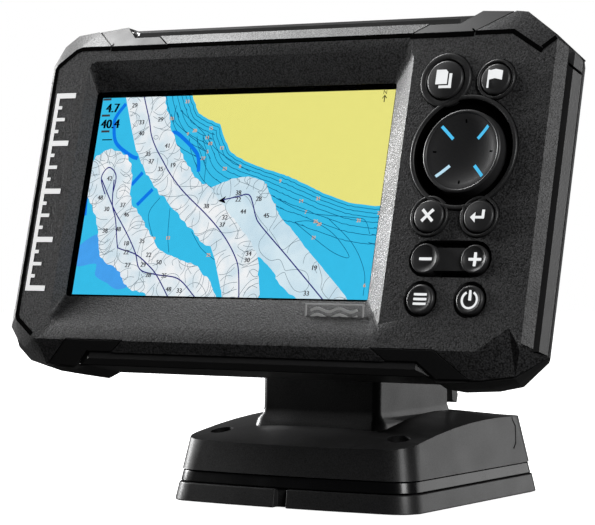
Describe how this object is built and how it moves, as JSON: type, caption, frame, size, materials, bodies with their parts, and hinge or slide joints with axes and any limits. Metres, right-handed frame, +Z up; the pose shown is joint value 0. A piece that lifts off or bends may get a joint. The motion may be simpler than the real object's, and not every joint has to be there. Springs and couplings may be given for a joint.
{
  "type": "chartplotter display",
  "caption": "Wide marine chart display with a colour screen, side keypad and direction pad, leaning back on a tilting pedestal stand with a tilt lock.",
  "frame": {"origin": "centre of the stand's underside, on the surface it stands on", "axes": "+Z up, the screen faces -Y, +X to the object's right as its user sees the screen"},
  "size_m": [0.1909, 0.1106, 0.1495],
  "materials": {
    "case_plastic": "fine moulded grain, satin",
    "rear_plastic": "fine moulded grain",
    "insert_plastic": "smooth, soft gloss",
    "stand_plastic": "black, semi gloss, light grain",
    "band_gloss": "black, polished",
    "key_plastic": "satin",
    "seal_rubber": "matt",
    "window_glass": "clear, bonded",
    "lit_screen": "lit liquid crystal panel",
    "stainless_steel": "satin",
    "circuit_board": "green solder mask",
    "antenna_ceramic": "fired ceramic",
    "tinned_steel": "tinned sheet"
  },
  "bodies": {
    "stand": {"base_plate": "stand_plastic", "base_band": "band_gloss", "stand_cover": "stand_plastic", "stand_screw_1": "stainless_steel", "stand_screw_2": "stainless_steel", "stand_screw_3": "stainless_steel", "stand_screw_4": "stainless_steel", "lever_pin": "stainless_steel", "rod_spring": "stainless_steel"},
    "lever": {"lock_lever": "stand_plastic"},
    "brake": {"brake_rod": "stand_plastic"},
    "display": {"tilt_bolt": "stainless_steel", "tilt_nut": "stainless_steel", "friction_washer_left": "seal_rubber", "friction_washer_right": "seal_rubber", "brake_drum": "stainless_steel", "cradle": "stand_plastic", "front_cover": "case_plastic", "rear_cover": "rear_plastic", "case_seal": "seal_rubber", "corner_insert_top_left": "insert_plastic", "corner_insert_top_right": "insert_plastic", "corner_insert_bottom_left": "insert_plastic", "corner_insert_bottom_right": "insert_plastic", "lens_window": "window_glass", "lens_gasket": "seal_rubber", "lcd_panel": "lit_screen", "lcd_chassis": "tinned_steel", "keypad_board": "circuit_board", "keypad_mat": "seal_rubber", "main_board": "circuit_board", "shield_can": "tinned_steel", "gps_antenna": "antenna_ceramic", "buzzer": "seal_rubber", "power_socket": "rear_plastic", "sonar_socket": "rear_plastic", "vent_plug": "seal_rubber", "case_screw_1": "stainless_steel", "case_screw_2": "stainless_steel", "case_screw_3": "stainless_steel", "case_screw_4": "stainless_steel", "keypad_trim": "key_plastic"},
    "latch": {"cradle_latch": "stand_plastic"},
    "card_door": {"card_door": "seal_rubber"},
    "pad_gimbal": {"pad_gimbal": "key_plastic"},
    "direction_pad": {"direction_pad": "key_plastic"},
    "pages": {"button_pages": "key_plastic"},
    "waypoint": {"button_waypoint": "key_plastic"},
    "exit": {"button_exit": "key_plastic"},
    "enter": {"button_enter": "key_plastic"},
    "menu": {"button_menu": "key_plastic"},
    "power": {"button_power": "key_plastic"},
    "zoom": {"zoom_rocker": "key_plastic"}
  },
  "joints": [
    {"name": "display_tilt", "type": "hinge", "parent": "stand", "child": "display", "pos_m": [0, 0, 0.085], "axis": [-1, 0, 0], "range_deg": [-14, 25]},
    {"name": "lock_lever_pull", "type": "hinge", "parent": "stand", "child": "lever", "pos_m": [0, 0.0255, 0.042], "axis": [1, 0, 0], "range_deg": [0, 11.2], "stiffness_Nm_per_rad": 0.3, "springref_deg": -8.59},
    {"name": "brake_rod_drop", "type": "slide", "parent": "stand", "child": "brake", "axis": [0, 0, 1], "range_m": [-0.00498, 0]},
    {"name": "cradle_latch_pull", "type": "slide", "parent": "display", "child": "latch", "axis": [0, 0.9652, -0.2615], "range_m": [0, 0.0034], "stiffness_N_per_m": 500, "springref_m": -0.002},
    {"name": "card_door_swing", "type": "hinge", "parent": "display", "child": "card_door", "pos_m": [-0.0672, -0.02362, 0.09341], "axis": [0, 0.2615, 0.9652], "range_deg": [0, 100]},
    {"name": "pad_rock_sideways", "type": "hinge", "parent": "display", "child": "pad_gimbal", "pos_m": [0.0637, -0.0445, 0.10622], "axis": [0, 0.2615, 0.9652], "range_deg": [-2.5, 2.5], "stiffness_Nm_per_rad": 0.4},
    {"name": "pad_rock_up_down", "type": "hinge", "parent": "pad_gimbal", "child": "direction_pad", "pos_m": [0.0637, -0.0445, 0.10622], "axis": [1, 0, 0], "range_deg": [-2.5, 2.5], "stiffness_Nm_per_rad": 0.4},
    {"name": "pages_press", "type": "slide", "parent": "display", "child": "pages", "axis": [0, 0.9652, -0.2615], "range_m": [0, 0.0008], "stiffness_N_per_m": 1500, "springref_m": -0.0004},
    {"name": "waypoint_press", "type": "slide", "parent": "display", "child": "waypoint", "axis": [0, 0.9652, -0.2615], "range_m": [0, 0.0008], "stiffness_N_per_m": 1500, "springref_m": -0.0004},
    {"name": "exit_press", "type": "slide", "parent": "display", "child": "exit", "axis": [0, 0.9652, -0.2615], "range_m": [0, 0.0008], "stiffness_N_per_m": 1500, "springref_m": -0.0004},
    {"name": "enter_press", "type": "slide", "parent": "display", "child": "enter", "axis": [0, 0.9652, -0.2615], "range_m": [0, 0.0008], "stiffness_N_per_m": 1500, "springref_m": -0.0004},
    {"name": "menu_press", "type": "slide", "parent": "display", "child": "menu", "axis": [0, 0.9652, -0.2615], "range_m": [0, 0.0008], "stiffness_N_per_m": 1500, "springref_m": -0.0004},
    {"name": "power_press", "type": "slide", "parent": "display", "child": "power", "axis": [0, 0.9652, -0.2615], "range_m": [0, 0.0008], "stiffness_N_per_m": 1500, "springref_m": -0.0004},
    {"name": "zoom_rock", "type": "hinge", "parent": "display", "child": "zoom", "pos_m": [0.06365, -0.05265, 0.07537], "axis": [0, 0.2615, 0.9652], "range_deg": [-4, 4], "stiffness_Nm_per_rad": 0.3}
  ],
  "couplings": [
    {"joint": "lock_lever_pull", "follows": "brake_rod_drop", "rad_per_m": -39.216}
  ]
}
